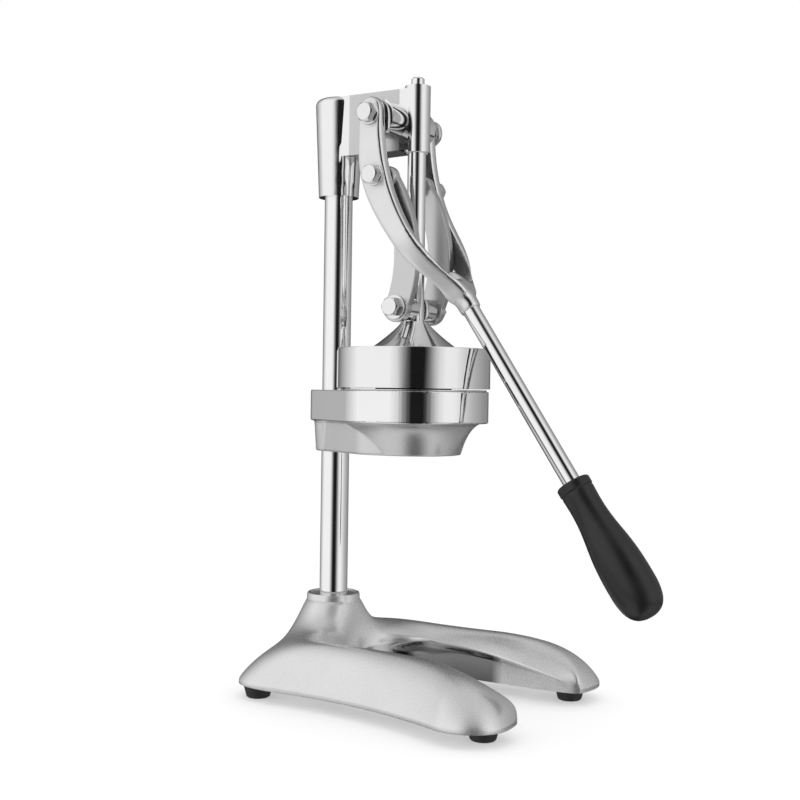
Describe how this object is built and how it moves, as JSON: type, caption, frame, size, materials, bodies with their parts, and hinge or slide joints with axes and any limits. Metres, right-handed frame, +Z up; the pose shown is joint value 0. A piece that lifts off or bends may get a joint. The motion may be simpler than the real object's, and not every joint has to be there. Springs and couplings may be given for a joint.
{
  "type": "citrus press juicer",
  "caption": "Hand citrus press on a horseshoe base: a forked lever drives a press cup down a guided rod onto a strainer cone and funnel held on a column.",
  "frame": {"origin": "middle of the footprint of the whole machine, on the bench plane", "axes": "+Z up, +X from the column towards the handle, +Y across the machine"},
  "size_m": [0.315, 0.1986, 0.4705],
  "materials": {
    "satin_casting": "satin silver cast metal",
    "polished_casting": "polished and satin cast metal",
    "polished_chrome": "mirror polished",
    "stainless_sheet": "bright sheet steel",
    "bolt_steel": "bright plated",
    "dark_steel": "black oxide",
    "bush_plastic": "plain nylon",
    "grip_plastic": "satin black moulded",
    "foot_rubber": "matt black"
  },
  "bodies": {
    "frame": {"base_casting": "satin_casting", "rubber_feet": "foot_rubber", "foot_screws": "bolt_steel", "column_rod": "polished_chrome", "column_bolt": "bolt_steel", "column_washer": "bolt_steel", "cup_holder": "polished_casting", "holder_set_screw": "dark_steel", "juice_funnel": "stainless_sheet", "strainer_plate": "stainless_sheet", "squeezing_cone": "stainless_sheet", "head_casting": "polished_casting", "head_set_screws": "dark_steel", "guide_bush": "bush_plastic"},
    "plunger": {"plunger_rod": "polished_chrome", "press_cup": "polished_casting", "cross_pin": "bolt_steel", "cross_pin_nut": "bolt_steel", "cross_pin_washers": "bolt_steel", "link_spacers": "bolt_steel"},
    "links": {"link_near": "satin_casting", "link_far": "satin_casting", "link_pins": "bolt_steel", "link_pin_nuts": "bolt_steel"},
    "lever": {"lever_yoke": "satin_casting", "handle_rod": "polished_chrome", "handle_grip": "grip_plastic", "pivot_bolt": "bolt_steel", "pivot_nut": "bolt_steel", "pivot_washers": "bolt_steel", "crank_bolts": "bolt_steel", "crank_washers": "bolt_steel"}
  },
  "joints": [
    {"name": "lever_swing", "type": "hinge", "parent": "frame", "child": "lever", "pos_m": [-0.05683, 0, 0.4375], "axis": [0, -1, 0], "range_deg": [0, 110]},
    {"name": "plunger_slide", "type": "slide", "parent": "frame", "child": "plunger", "axis": [0, 0, 1], "range_m": [0, 0.0695]},
    {"name": "link_swing", "type": "hinge", "parent": "plunger", "child": "links", "pos_m": [-0.04133, 0, 0.295], "axis": [0, 1, 0], "range_deg": [0, 21.8]}
  ],
  "couplings": [
    {"joint": "plunger_slide", "follows": "lever_swing", "m_per_rad": 0.03618},
    {"joint": "link_swing", "follows": "lever_swing", "ratio": 0.19799}
  ]
}
